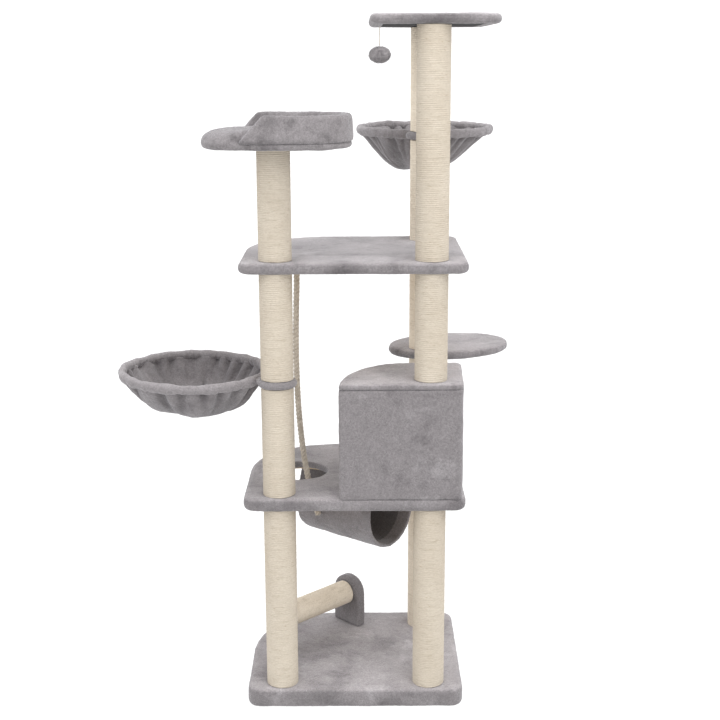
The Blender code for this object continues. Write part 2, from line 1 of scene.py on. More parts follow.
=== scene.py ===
"""Looks of the cat tree: plush, sisal, rope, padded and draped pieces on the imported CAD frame.

Metres, +Z up; -Y is the front.
"""

import json
import math

import bmesh
import bpy
import numpy as np
from mathutils import Matrix, Vector


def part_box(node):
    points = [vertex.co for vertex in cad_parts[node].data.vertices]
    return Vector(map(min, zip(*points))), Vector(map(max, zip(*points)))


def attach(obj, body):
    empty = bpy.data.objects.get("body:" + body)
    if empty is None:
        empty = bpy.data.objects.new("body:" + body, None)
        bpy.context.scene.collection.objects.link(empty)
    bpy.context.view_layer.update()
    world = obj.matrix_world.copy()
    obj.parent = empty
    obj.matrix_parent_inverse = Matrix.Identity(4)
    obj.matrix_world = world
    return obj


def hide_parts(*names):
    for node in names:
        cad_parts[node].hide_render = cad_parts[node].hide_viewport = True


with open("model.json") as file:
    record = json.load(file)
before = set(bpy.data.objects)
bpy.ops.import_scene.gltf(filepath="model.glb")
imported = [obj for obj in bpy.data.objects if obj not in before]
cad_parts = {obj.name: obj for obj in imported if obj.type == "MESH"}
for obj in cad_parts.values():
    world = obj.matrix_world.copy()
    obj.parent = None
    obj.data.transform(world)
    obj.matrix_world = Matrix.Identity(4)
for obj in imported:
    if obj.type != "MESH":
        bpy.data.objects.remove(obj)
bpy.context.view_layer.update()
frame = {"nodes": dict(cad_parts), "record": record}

# ---------------------------------------------------------------- camera and light
CAMERA_AT = (0.0183, -3.5143, 1.7703)
CAMERA_YAW = math.radians(-0.04)
CAMERA_PITCH = math.radians(13.38)     # down
CAMERA_ROLL = math.radians(-0.2)
CAMERA_LENS = 64.21
CAMERA_SENSOR = 36.0

WORLD_STRENGTH = 1.25
LIGHTS = {                # place, size in metres, power in watts
    "key_right": ((2.0, -2.6, 3.2), 1.6, 26.0),
    "key_left": ((-2.6, -1.6, 2.4), 1.6, 12.0),
    "overhead": ((0.6, -1.5, 5.2), 2.6, 92.0),
}
FLOOR_SIZE = 14.0
FLOOR_COLOUR = 0.15
FLOOR_GLOW = 1.00         # the floor is a lit white table, so it shows next to no shadow

# ---------------------------------------------------------------- sizes shared with the frame
HAMMOCK_R = 0.196
HAMMOCK_REACH = 0.262
HAMMOCK_TILT = math.radians(1)
HAMMOCKS = {              # post and level, angle, depth, and the bowl's radii from the hem down
    "left_hammock": ((-0.204, -0.206, 0.922), math.radians(153.6), 0.092, (0.985, 0.84, 0.60)),
    "upper_hammock": ((0.204, 0.176, 1.5465), math.radians(88), 0.110, (0.92, 0.66, 0.38)),
}
COLLAR_R = 0.054

POST_R = 0.044
WRAP_THICKNESS = 0.006
ROLLER_R = 0.036
ROLLER_MIDDLE = (-0.117, 0.092, 0.158)
ROLLER_TURN = math.radians(45)
ROLLER_LENGTH = 0.238

ROPE_POINTS = [
    (-0.1570, -0.030, 1.2155), (-0.1575, -0.031, 1.160), (-0.1600, -0.034, 1.080),
    (-0.1615, -0.038, 0.990), (-0.1600, -0.043, 0.890), (-0.1550, -0.050, 0.790),
    (-0.1450, -0.059, 0.690), (-0.1335, -0.0665, 0.620), (-0.1245, -0.0715, 0.576),
    (-0.1115, -0.0800, 0.535), (-0.1040, -0.0857, 0.508),
]

POM_XY = (0.068, -0.220)
STRING_R = 0.0014
STRING_TOP = 1.8368
STRING_BOTTOM = 1.7915
POM_GAP = 0.001
POM_SEMI = (0.028, 0.026, 0.021)

# ---------------------------------------------------------------- sisal
SISAL_PITCH = 0.0052
SISAL_ROWS = 6            # mesh rows across one turn of rope
SISAL_STEPS = 64          # mesh columns round a post
SISAL_GROOVE = 0.0015     # depth between two turns
SISAL_WANDER = 0.0004     # how far a turn strays up or down
SISAL_SWELL = 0.00025     # how much a turn stands out or in
SISAL_DRIFT = 0.006       # how far the rope's twist runs ahead or behind

SEED = 7


# ---------------------------------------------------------------- materials
def new_material(name):
    material = bpy.data.materials.new(name)
    material.use_nodes = True
    tree = material.node_tree
    return material, tree, tree.nodes["Principled BSDF"]


def add_node(tree, kind, **values):
    """A shader node; keyword values go to sockets, or to the node's own settings."""
    node = tree.nodes.new(kind)
    for name, value in values.items():
        socket = name.replace("_", " ").title()
        if socket in node.inputs:
            node.inputs[socket].default_value = value
        else:
            setattr(node, name, value)
    return node


def noise(tree, vector, scale, detail=3.0, roughness=0.55, distortion=0.0):
    node = add_node(
        tree, "ShaderNodeTexNoise", scale=scale, detail=detail, roughness=roughness, distortion=distortion)
    tree.links.new(vector, node.inputs["Vector"])
    return node.outputs["Fac"]


def ramp(tree, factor, stops):
    node = tree.nodes.new("ShaderNodeValToRGB")
    elements = node.color_ramp.elements
    while len(elements) < len(stops):
        elements.new(0.5)
    for element, (position, colour) in zip(elements, stops):
        element.position = position
        element.color = (*colour, 1.0)
    tree.links.new(factor, node.inputs["Fac"])
    return node.outputs["Color"]


def mixed(tree, factor, a, b, blend="MIX"):
    """A colour mix; factor, a and b are sockets or constants."""
    node = tree.nodes.new("ShaderNodeMix")
    node.data_type = "RGBA"
    node.blend_type = blend
    for socket, value in ((node.inputs["Factor"], factor), (node.inputs[6], a), (node.inputs[7], b)):
        if isinstance(value, bpy.types.NodeSocket):
            tree.links.new(value, socket)
        else:
            socket.default_value = (*value, 1.0) if isinstance(value, tuple) else value
    return node.outputs[2]


def bump(tree, shader, layers):
    """Chains (height socket, strength, distance) layers into the shader's normal."""
    normal = None
    for height, strength, distance in layers:
        node = add_node(tree, "ShaderNodeBump", strength=strength, distance=distance)
        tree.links.new(height, node.inputs["Height"])
        if normal is not None:
            tree.links.new(normal, node.inputs["Normal"])
        normal = node.outputs["Normal"]
    tree.links.new(normal, shader.inputs["Normal"])


PAINTED_FOLD_SHADE = 0.42        # how dark the painted shade at the bottom of a fold is
PLUSH_DARK, PLUSH_MIDDLE, PLUSH_LIGHT = (0.158, 0.146, 0.151), (0.212, 0.198, 0.203), (0.268, 0.253, 0.259)
SISAL_TONE, SISAL_LIGHT = (0.505, 0.449, 0.374), (0.548, 0.495, 0.420)
PAINTED_TOP_LIGHT = 1.58       # painted top light: how much paler the boards' tops are painted than their edges


def grey(value):
    return (value, value, value)


def plush_material(name, shade=1.0, painted_top_light=1.0, smudges=None, painted_folds=False):
    """Short grey pile: soft patches where the nap lies another way, fine tufts, a velvety edge.

    Level tops are painted paler by a factor, a painted top light; a factor below 1 paints them darker.
    Smudges are a scale and two factors, where hands or paws have stroked the pile. Folded cloth can
    be painted darker where its mesh's "crease" value is high: painted shade in the folds.
    """
    material, tree, shader = new_material(name)
    place = add_node(tree, "ShaderNodeTexCoord").outputs["Object"]
    patches = noise(tree, place, 11.0, 4.0, 0.62, 0.4)
    strokes = noise(tree, place, 46.0, 3.0, 0.62, 0.5)
    tufts = noise(tree, place, 210.0, 3.0, 0.72)
    fibres = noise(tree, place, 620.0, 2.0, 0.6)
    dark, middle, light = (
        tuple(shade * c for c in colour) for colour in (PLUSH_DARK, PLUSH_MIDDLE, PLUSH_LIGHT))
    nap = ramp(tree, patches, [(0.32, dark), (0.46, middle), (0.57, middle), (0.70, light)])
    stroke = ramp(
        tree, strokes, [(0.30, grey(0.88)), (0.46, grey(1.0)), (0.60, grey(1.0)), (0.74, grey(1.10))])
    grain = ramp(tree, tufts, [(0.30, grey(0.80)), (0.50, grey(1.0)), (0.68, grey(1.18))])
    hair = ramp(tree, fibres, [(0.33, grey(0.80)), (0.67, grey(1.18))])
    colour = mixed(tree, 1.0, mixed(tree, 1.0, nap, stroke, "MULTIPLY"), grain, "MULTIPLY")
    colour = mixed(tree, 1.0, colour, hair, "MULTIPLY")
    if smudges:
        scale, low, high = smudges
        stroked = noise(tree, place, scale, 3.0, 0.6, 0.2)
        stroked = ramp(tree, stroked, [(0.38, grey(low)), (0.49, grey(1.0)), (0.64, grey(high))])
        colour = mixed(tree, 1.0, colour, stroked, "MULTIPLY")
    # painted top light: faces whose normal points up are painted paler, or darker for a factor below 1
    if painted_top_light != 1.0:
        split = tree.nodes.new("ShaderNodeSeparateXYZ")
        tree.links.new(add_node(tree, "ShaderNodeTexCoord").outputs["Normal"], split.inputs["Vector"])
        facing = ramp(tree, split.outputs["Z"], [(0.35, grey(1.0)), (0.95, grey(painted_top_light))])
        colour = mixed(tree, 1.0, colour, facing, "MULTIPLY")
    # painted shade in the folds, from the mesh's "crease" value
    if painted_folds:
        depth = add_node(tree, "ShaderNodeAttribute", attribute_name="crease").outputs["Fac"]
        folds = ramp(tree, depth, [(0.0, grey(1.0)), (1.0, grey(PAINTED_FOLD_SHADE))])
        colour = mixed(tree, 1.0, colour, folds, "MULTIPLY")
    tree.links.new(colour, shader.inputs["Base Color"])
    shader.inputs["Roughness"].default_value = 0.95
    shader.inputs["Specular IOR Level"].default_value = 0.1
    shader.inputs["Sheen Weight"].default_value = 0.42
    shader.inputs["Sheen Roughness"].default_value = 0.40
    shader.inputs["Sheen Tint"].default_value = (0.94, 0.93, 0.97, 1.0)
    bump(tree, shader, [(strokes, 0.40, 0.0050), (tufts, 0.60, 0.0028), (fibres, 0.6, 0.0014)])
    return material


def sisal_material(name, shade=1.0):
    """Wound sisal: the UVs run along the rope and across one turn."""
    material, tree, shader = new_material(name)
    texture = add_node(tree, "ShaderNodeTexCoord")
    place = texture.outputs["Object"]
    stretched = tree.nodes.new("ShaderNodeMapping")
    stretched.inputs["Scale"].default_value = (1.0, 1.0, 7.0)
    tree.links.new(place, stretched.inputs["Vector"])
    along = tree.nodes.new("ShaderNodeMapping")
    along.inputs["Scale"].default_value = (1.0, 0.02, 1.0)
    tree.links.new(texture.outputs["UV"], along.inputs["Vector"])
    slants = noise(tree, along.outputs["Vector"], 130.0, 3.0, 0.6)
    fibres = noise(tree, stretched.outputs["Vector"], 240.0, 3.0, 0.65)
    rows = noise(tree, stretched.outputs["Vector"], 34.0, 3.0, 0.62)
    patches = noise(tree, place, 7.0, 3.0, 0.6)
    flecks = noise(tree, stretched.outputs["Vector"], 75.0, 2.0, 0.5, 0.6)
    tone, pale = (tuple(shade * c for c in colour) for colour in (SISAL_TONE, SISAL_LIGHT))
    base = ramp(tree, patches, [(0.35, tone), (0.65, pale)])
    row = ramp(tree, rows, [(0.30, (0.88, 0.865, 0.84)), (0.46, grey(1.0)), (0.72, grey(1.05))])
    strand = ramp(tree, slants, [(0.30, (0.90, 0.885, 0.86)), (0.60, grey(1.02))])
    fine = ramp(tree, fibres, [(0.30, (0.86, 0.85, 0.83)), (0.62, grey(1.05))])
    fleck = ramp(tree, flecks, [(0.24, (0.66, 0.58, 0.48)), (0.33, grey(1.0))])
    colour = mixed(tree, 1.0, mixed(tree, 1.0, base, strand, "MULTIPLY"), fine, "MULTIPLY")
    colour = mixed(tree, 1.0, mixed(tree, 1.0, colour, fleck, "MULTIPLY"), row, "MULTIPLY")
    tree.links.new(colour, shader.inputs["Base Color"])
    shader.inputs["Roughness"].default_value = 0.88
    shader.inputs["Specular IOR Level"].default_value = 0.2
    bump(tree, shader, [(slants, 0.3, 0.0006), (fibres, 0.5, 0.0006)])
    return material


def rope_material(name):
    """Twisted natural fibre; the UVs run along and round each strand."""
    material, tree, shader = new_material(name)
    texture = add_node(tree, "ShaderNodeTexCoord")
    stretched = tree.nodes.new("ShaderNodeMapping")
    stretched.inputs["Scale"].default_value = (1.0, 14.0, 1.0)
    tree.links.new(texture.outputs["UV"], stretched.inputs["Vector"])
    fibres = noise(tree, stretched.outputs["Vector"], 90.0, 3.0, 0.65)
    patches = noise(tree, texture.outputs["Object"], 60.0, 2.0, 0.5)
    base = ramp(tree, patches, [(0.35, (0.50, 0.445, 0.375)), (0.65, (0.60, 0.545, 0.470))])
    fine = ramp(tree, fibres, [(0.30, (0.76, 0.74, 0.71)), (0.66, grey(1.12))])
    tree.links.new(mixed(tree, 1.0, base, fine, "MULTIPLY"), shader.inputs["Base Color"])
    shader.inputs["Roughness"].default_value = 0.9
    shader.inputs["Specular IOR Level"].default_value = 0.2
    shader.inputs["Sheen Weight"].default_value = 0.15
    bump(tree, shader, [(fibres, 0.6, 0.0008)])
    return material


def board_material(name, low, high, scale):
    """Raw chipboard, cardboard or fabric backing: two tones in flakes."""
    material, tree, shader = new_material(name)
    place = add_node(tree, "ShaderNodeTexCoord").outputs["Object"]
    flakes = noise(tree, place, scale, 4.0, 0.7)
    tree.links.new(ramp(tree, flakes, [(0.35, low), (0.65, high)]), shader.inputs["Base Color"])
    shader.inputs["Roughness"].default_value = 0.9
    shader.inputs["Specular IOR Level"].default_value = 0.25
    bump(tree, shader, [(flakes, 0.35, 0.0006)])
    return material


def steel_material(name):
    material, tree, shader = new_material(name)
    place = add_node(tree, "ShaderNodeTexCoord").outputs["Object"]
    wear = noise(tree, place, 140.0, 3.0, 0.6)
    tree.links.new(
        ramp(tree, wear, [(0.3, (0.42, 0.42, 0.43)), (0.7, (0.60, 0.60, 0.62))]), shader.inputs["Base Color"])
    tree.links.new(
        ramp(tree, wear, [(0.3, (0.45, 0.45, 0.45)), (0.7, (0.28, 0.28, 0.28))]), shader.inputs["Roughness"])
    shader.inputs["Metallic"].default_value = 1.0
    bump(tree, shader, [(wear, 0.1, 0.0002)])
    return material


def floor_material(name):
    material, tree, shader = new_material(name)
    place = add_node(tree, "ShaderNodeTexCoord").outputs["Object"]
    tone = noise(tree, place, 1.5, 2.0, 0.5)
    pale, paler = ((v, v, v) for v in (FLOOR_COLOUR * 0.95, FLOOR_COLOUR * 1.05))
    tree.links.new(ramp(tree, tone, [(0.3, pale), (0.7, paler)]), shader.inputs["Base Color"])
    shader.inputs["Roughness"].default_value = 1.0
    shader.inputs["Specular IOR Level"].default_value = 0.0
    shader.inputs["Emission Color"].default_value = (1.0, 1.0, 1.0, 1.0)
    shader.inputs["Emission Strength"].default_value = FLOOR_GLOW
    return material


PLUSH = plush_material("plush_pile")
# a darker copy of the pile: painted shade inside the tunnel
PLUSH_SHADED = plush_material("plush_tunnel_painted_shade", 0.55)
# the boards: painted top light on their level tops
PLUSH_TOP = plush_material("plush_boards", 1.02, PAINTED_TOP_LIGHT, smudges=(7.0, 0.80, 1.10))
# the pads: their level tops are painted a little darker, painted shade
PLUSH_PAD = plush_material("plush_pads", 1.04, 0.92, smudges=(15.0, 0.74, 1.06))
# the hems and necks: a lighter copy of the pile, painted light, with painted top light
PLUSH_HEM = plush_material("plush_hems", 1.12, 1.15)
# the hammock cloth: a darker copy of the pile, painted shade, with painted top light and painted shade in its
# folds
PLUSH_CLOTH_PAINTED_LIGHT = plush_material("plush_cloth_painted_light", 0.92, 1.25, painted_folds=True)
# the pom-pom: a lighter copy of the pile, painted light against the shade among its fibres
PLUSH_FLUFF = plush_material("plush_fluff", 1.45)
SISAL = sisal_material("wound_sisal")
# a lighter copy of the sisal: painted light on the posts and the roller that lie in the shade of others
SISAL_PAINTED_LIGHT = sisal_material("wound_sisal_painted_light", 1.42)
ROPE = rope_material("twisted_rope")
STRING = rope_material("grey_string")
BOARD = board_material("chipboard", (0.40, 0.29, 0.17), (0.58, 0.45, 0.30), 160.0)
CARDBOARD = board_material("cardboard", (0.36, 0.25, 0.15), (0.46, 0.34, 0.22), 60.0)
LINER = board_material("liner_fabric", (0.018, 0.018, 0.020), (0.040, 0.040, 0.043), 420.0)
STEEL = steel_material("zinc_wire")


# ---------------------------------------------------------------- mesh helpers
def link(obj):
    bpy.context.scene.collection.objects.link(obj)
    return obj


def dress(obj, material):
    """Gives a piece its material and smooth shading."""
    obj.data.materials.clear()
    obj.data.materials.append(material)
    obj.data.shade_smooth()
    return obj


def stand_for(obj, node):
    """The piece takes the place of a CAD node and moves with its body."""
    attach(obj, body_of(node))
    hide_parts(node)
    return obj


def body_of(node):
    for body, members in frame["record"]["behaviour"]["bodies"].items():
        if node in members:
            return body
    raise ValueError(node)


def mesh_object(name, points, faces, uvs=None):
    """A mesh from arrays; uvs has one pair for each corner of each face."""
    mesh = bpy.data.meshes.new(name)
    mesh.from_pydata(np.asarray(points).tolist(), [], np.asarray(faces).tolist())
    if uvs is not None:
        layer = mesh.uv_layers.new(name="UVMap")
        layer.data.foreach_set("uv", np.asarray(uvs, float).ravel())
    mesh.update()
    return link(bpy.data.objects.new(name, mesh))


def catmull_rom(a, b, c, d, t):
    """The curve from b to c, at t from 0 to 1; a and d come before and after."""
    square, cube = 2 * a - 5 * b + 4 * c - d, 3 * b - a - 3 * c + d
    return 0.5 * (2 * b + (c - a) * t + square * t * t + cube * t ** 3)


def apply_modifiers(obj):
    bpy.context.view_layer.update()
    evaluated = obj.evaluated_get(bpy.context.evaluated_depsgraph_get())
    mesh = bpy.data.meshes.new_from_object(evaluated)
    obj.modifiers.clear()
    obj.data = mesh
    return obj


def subdivide(obj):
    """Applies the modifiers and one smooth subdivision."""
    finer = obj.modifiers.new("finer", "SUBSURF")
    finer.levels = finer.render_levels = 1
    return apply_modifiers(obj)


def clouds(name, size, depth):
    texture = bpy.data.textures.new(name, "CLOUDS")
    texture.noise_scale = size
    texture.noise_depth = depth
    return texture


PILE_LUMPS = clouds("pile_lumps", 0.0075, 2)
CLOTH_WAVES = clouds("cloth_waves", 0.055, 1)


def roughen(obj, pile=0.0009, waves=0.0016):
    """Small tufts and slow waves in the surface of a plush piece."""
    for texture, strength in ((CLOTH_WAVES, waves), (PILE_LUMPS, pile)):
        displace = obj.modifiers.new(texture.name, "DISPLACE")
        displace.texture = texture
        displace.texture_coords = "GLOBAL"
        displace.strength = strength
        displace.mid_level = 0.5
    return apply_modifiers(obj)


def copy_of(node, name):
    obj = frame["nodes"][node].copy()
    obj.data = frame["nodes"][node].data.copy()
    obj.parent = None
    obj.name = name
    for key in list(obj.keys()):
        del obj[key]
    return link(obj)


def remesh_smooth(obj, voxel, smoothing):
    """Fine even faces, with the hard edges rounded."""
    remesh = obj.modifiers.new("remesh", "REMESH")
    remesh.mode = "VOXEL"
    remesh.voxel_size = voxel
    smooth = obj.modifiers.new("smooth", "SMOOTH")
    smooth.factor = 0.5
    smooth.iterations = smoothing
    return apply_modifiers(obj)


def remeshed(node, name, voxel, smoothing):
    """A fine even copy of a CAD node with its hard edges rounded."""
    return remesh_smooth(copy_of(node, name), voxel, smoothing)


def plush_skin(node, voxel=0.0030, smoothing=4, pile=0.0013, waves=0.0018, material=PLUSH):
    obj = remeshed(node, node + "_plush", voxel, smoothing)
    return stand_for(dress(roughen(obj, pile, waves), material), node)


# ---------------------------------------------------------------- camera, floor and light
def camera():
    yaw, pitch, roll = CAMERA_YAW, CAMERA_PITCH, CAMERA_ROLL
    forward = Vector((math.sin(yaw) * math.cos(pitch), math.cos(yaw) * math.cos(pitch), -math.sin(pitch)))
    level = Vector((math.cos(yaw), -math.sin(yaw), 0))
    up = level.cross(forward)
    right = level * math.cos(roll) + up * math.sin(roll)
    top = up * math.cos(roll) - level * math.sin(roll)
    data = bpy.data.cameras.new("camera")
    data.lens = CAMERA_LENS
    data.sensor_width = CAMERA_SENSOR
    obj = link(bpy.data.objects.new("camera", data))
    obj.matrix_world = Matrix.Translation(CAMERA_AT) @ Matrix((right, top, -forward)).transposed().to_4x4()
    bpy.context.scene.camera = obj


def area_light(name, place, size, power, target=(0, 0, 0.9)):
    data = bpy.data.lights.new(name, "AREA")
    data.shape = "DISK"
    data.size = size
    data.energy = power
    obj = link(bpy.data.objects.new(name, data))
    obj.location = place
    obj.rotation_euler = (Vector(target) - Vector(place)).to_track_quat("-Z", "Y").to_euler()


def studio():
    world = bpy.data.worlds.new("studio")
    world.use_nodes = True
    background = world.node_tree.nodes["Background"]
    background.inputs["Color"].default_value = (1.0, 1.0, 1.0, 1.0)
    background.inputs["Strength"].default_value = WORLD_STRENGTH
    bpy.context.scene.world = world
    bpy.context.scene.view_settings.view_transform = "Standard"
    for name, (place, size, power) in LIGHTS.items():
        area_light(name, place, size, power)
    half = FLOOR_SIZE / 2
    floor = mesh_object(
        "floor", [(-half, -half, 0), (half, -half, 0), (half, half, 0), (-half, half, 0)], [(0, 1, 2, 3)])
    floor.data.materials.append(floor_material("pale_floor"))


# ---------------------------------------------------------------- wound sisal
def slow_noise(rng, count, spacing):
    """A smooth random sequence of that many values between about -1 and 1."""
    knots = rng.uniform(-1, 1, int(count / spacing) + 3)
    return np.interp(np.arange(count) / spacing, np.arange(len(knots)), knots)


def wound_sleeve(name, radius, length, matrix, seed):
    """Sisal rope wound closely round a tube that stands on the local XY plane."""
    rng = np.random.default_rng(seed)
    steps, rows = SISAL_STEPS, SISAL_ROWS
    turns = int(length / SISAL_PITCH) + 3
    row_of = np.arange(turns * rows + 1)
    column = np.arange(steps)
    turn = (row_of[:, None] / rows) + (column[None, :] / steps)        # height in turns
    across = (row_of % rows) / rows
    wound = (row_of // rows)[:, None] * steps + column[None, :]        # place along the rope
    wander = slow_noise(rng, (turns + 2) * steps, 11)
    swell = slow_noise(rng, (turns + 2) * steps, 17)
    edge = (across == 0)[:, None]
    height = (turn - 1.5) * SISAL_PITCH
    height = height + np.where(edge, 0.5 * (wander[wound] + wander[np.maximum(wound - steps, 0)]),
                               wander[wound]) * SISAL_WANDER
    scallop = 1 - np.sqrt(1 - (2 * across - 1) ** 2 * 0.97)
    out = radius - SISAL_SWELL - SISAL_GROOVE * scallop[:, None] + np.where(
        edge, 0, swell[wound] * SISAL_SWELL)
    inner = radius - WRAP_THICKNESS
    out = np.where((height <= 0) | (height >= length), inner, out)
    height = np.clip(height, 0, length)
    angle = 2 * math.pi * column / steps
    points = np.stack([out * np.cos(angle), out * np.sin(angle), height], axis=2).reshape(-1, 3)

    i, j = np.meshgrid(np.arange(turns * rows - rows), column, indexing="ij")
    last = j == steps - 1
    right = np.where(last, (i + rows) * steps, i * steps + j + 1)
    faces = np.stack([i * steps + j, right, right + steps, (i + 1) * steps + j], axis=2).reshape(-1, 4)
    metres = 2 * math.pi * radius / steps
    place = (i // rows) * steps + j
    drift = slow_noise(rng, (turns + 2) * steps, 41) * SISAL_DRIFT
    start, end = place * metres + drift[place], (place + 1) * metres + drift[place + 1]
    low, high = (i % rows) / rows, (i % rows + 1) / rows
    uvs = np.stack([
        np.stack([start, low], 2), np.stack([end, low], 2),
        np.stack([end, high], 2), np.stack([start, high], 2)], axis=2).reshape(-1, 2)
    obj = mesh_object(name, points, faces, uvs)
    clean = bmesh.new()
    clean.from_mesh(obj.data)
    bmesh.ops.dissolve_degenerate(clean, edges=clean.edges, dist=1e-6)
    clean.to_mesh(obj.data)
    clean.free()
    obj.data.transform(matrix)
    return obj


def wound_posts():
    names = sorted(n for n in frame["nodes"] if n.startswith("post") and n.endswith("_sisal"))
    for k, node in enumerate(names):
        low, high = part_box(node)
        place = Matrix.Translation(((low.x + high.x) / 2, (low.y + high.y) / 2, low.z))
        place = place @ Matrix.Rotation(k * 2.3, 4, "Z")
        sleeve = wound_sleeve(node + "_rope", POST_R, high.z - low.z, place, SEED + k)
        # these posts get the lighter copy of the sisal: painted light where the posts in front shade them
        pale = node.startswith(("post_rear", "post_right_2"))
        stand_for(dress(sleeve, SISAL_PAINTED_LIGHT if pale else SISAL), node)


def roller():
    along = (Matrix.Translation(ROLLER_MIDDLE) @ Matrix.Rotation(ROLLER_TURN, 4, "Z")
             @ Matrix.Rotation(math.pi / 2, 4, "Y") @ Matrix.Translation((0, 0, -ROLLER_LENGTH / 2)))
    sleeve = wound_sleeve("roller_sisal_rope", ROLLER_R, ROLLER_LENGTH, along, SEED + 50)
    # painted light: the roller gets the lighter copy of the sisal
    stand_for(dress(sleeve, SISAL_PAINTED_LIGHT), "roller_sisal")
    for node in ("roller_plate_left", "roller_plate_right"):
        plush_skin(node, 0.0022, 5)


# ---------------------------------------------------------------- hammocks
PLEATS = 23
PLEAT_DEPTH = 0.0115
PLEATED_SHARE = 0.44      # the gathers fade out this far down the cloth
SWAGS = 7                 # slack folds that hang on the outside
SWAG_DEPTH = 0.0045
FLOOR_RISE = 0.0048       # the cloth on the basket's floor lies this much above the lowest of the bowl
UNDER_HEM = 0.05          # the share of the cloth that the hem hides
BASKET_COLUMNS = 216
BASKET_ROWS = 32
BASKET_THICKNESS = 0.0050
HEM_R = 0.0112
HEM_STEPS = 260
HEM_SIDES = 20
HEM_FULL, HEM_PUFF, HEM_CREASE = 1.04, 0.17, 0.18
HEM_CREASE_AT = 2.2       # the creases are deepest at minus this angle round the wire
HEM_DROOP = 0.28          # how much the hem's underside hangs below the wire
HEM_WANDER = 0.0016
LEAN = {"left_hammock": 0.0, "upper_hammock": 0.021}    # the bowl's foot is this far from the ring's middle


def ring_frame(pivot, angle):
    """From a hammock's own frame, centre of the ring and +X towards the post, to the row frame."""
    return (Matrix.Translation(pivot) @ Matrix.Rotation(angle + math.pi, 4, "Z")
            @ Matrix.Rotation(HAMMOCK_TILT, 4, "Y") @ Matrix.Translation((-HAMMOCK_REACH, 0, 0)))


def uneven(theta, rng, orders, low=0.4):
    """A random smooth function round the rim, between -1 and 1."""
    total = sum(rng.uniform(low, 1.0) * np.sin(k * theta + rng.uniform(0, 2 * math.pi)) for k in orders)
    return total / np.abs(total).max()


def gathers(theta, rng):
    """Uneven gathers under the hem: rounded crests with steep sides, some deep and some faint."""
    phase = PLEATS * theta + 4.6 * uneven(theta, rng, (2, 3, 5, 8))
    crest = np.sign(np.cos(phase)) * np.abs(np.cos(phase)) ** 0.7
    strength = 0.66 + 0.34 * uneven(theta, rng, (3, 4, 7, 9))
    return crest * strength


def swags(theta, rng, s):
    """Slack folds that swing from one side to the other on their way down."""
    phase = SWAGS * theta + 1.8 * uneven(theta, rng, (1, 2, 3)) + 2.4 * s * uneven(theta, rng, (2, 3, 4))
    return 1 - 2 * np.abs(np.sin(phase / 2)) ** 0.7


def basket(name, matrix, depth, belly, lean, seed):
    """Gathered cloth hung from the ring: pleated under the hem, slack and folded lower down."""
    theta = 2 * math.pi * np.arange(BASKET_COLUMNS) / BASKET_COLUMNS
    pleat = gathers(theta, np.random.default_rng(seed))
    reach = 0.75 + 0.35 * uneven(theta, np.random.default_rng(seed + 5), (2, 5, 9))
    points, painted_fold_depth = [], []
    for k in range(BASKET_ROWS + 1):
        s = k / BASKET_ROWS
        radius, drop = basket_section(s, depth, belly)
        fade = np.exp(-(s / (PLEATED_SHARE * reach)) ** 2)
        fold = PLEAT_DEPTH * fade * min(1.0, s / UNDER_HEM + 0.2)
        slack = SWAG_DEPTH * math.sin(math.pi * min(1.0, s * 1.15)) ** 1.5 * min(1.0, s / 0.15)
        hang = swags(theta, np.random.default_rng(seed + 9), s)
        sag = 1.0 + 0.05 * uneven(theta, np.random.default_rng(seed + 13), (2, 3)) * math.sin(math.pi * s)
        r = radius + (pleat - 0.55) * fold * 0.8 + (hang - 0.7) * slack
        z = -drop * sag - (pleat * fold * 0.3 + hang * slack * 0.5) * (s > UNDER_HEM) + FLOOR_RISE * s ** 3
        # how deep in a fold each point lies, for the painted shade in the folds
        painted_fold_depth.append(pleat * np.minimum(1.0, 1.3 * fade) + hang * 0.55 * slack / SWAG_DEPTH)
        shift = lean * min(1.0, drop / depth) ** 1.5
        points += [(r[j] * math.cos(theta[j]), r[j] * math.sin(theta[j]) - shift, z[j])
                   for j in range(BASKET_COLUMNS)]
    n = BASKET_COLUMNS
    faces = [
        (k * n + j, (k + 1) * n + j, (k + 1) * n + (j + 1) % n, k * n + (j + 1) % n)
        for k in range(BASKET_ROWS) for j in range(n)
    ]
    centre = len(points)
    points.append((0, -lean, -depth + BASKET_THICKNESS + FLOOR_RISE))
    faces += [(BASKET_ROWS * n + j, centre, BASKET_ROWS * n + (j + 1) % n) for j in range(n)]
    obj = mesh_object_mixed(name, points, faces)
    # the "crease" value carries the painted shade in the folds
    layer = obj.data.attributes.new("crease", "FLOAT", "POINT")
    layer.data.foreach_set("value", np.append(np.concatenate(painted_fold_depth), 0.0).astype(np.float32))
    crumple(obj)
    thick = obj.modifiers.new("thick", "SOLIDIFY")
    thick.thickness = BASKET_THICKNESS
    thick.offset = 0
    subdivide(obj)
    shade_creases(obj)
    obj.data.transform(matrix)
    return roughen(obj, 0.0012, 0.0030)


def shade_creases(obj):
    """Turns the folds' height into how deep each face of the cloth lies in a fold, inside and outside, for
    the painted shade in the folds.
    """
    count = len(obj.data.vertices)
    place, facing, height = np.empty(count * 3), np.empty(count * 3), np.empty(count, np.float32)
    obj.data.vertices.foreach_get("co", place)
    obj.data.vertices.foreach_get("normal", facing)
    layer = obj.data.attributes["crease"]
    layer.data.foreach_get("value", height)
    place, facing = place.reshape(-1, 3), facing.reshape(-1, 3)
    outside = facing[:, 0] * place[:, 0] + facing[:, 1] * place[:, 1] - 0.1 * facing[:, 2] > 0
    depth = np.clip(np.where(outside, -height, height), 0, 1)
    layer.data.foreach_set("value", depth.astype(np.float32))


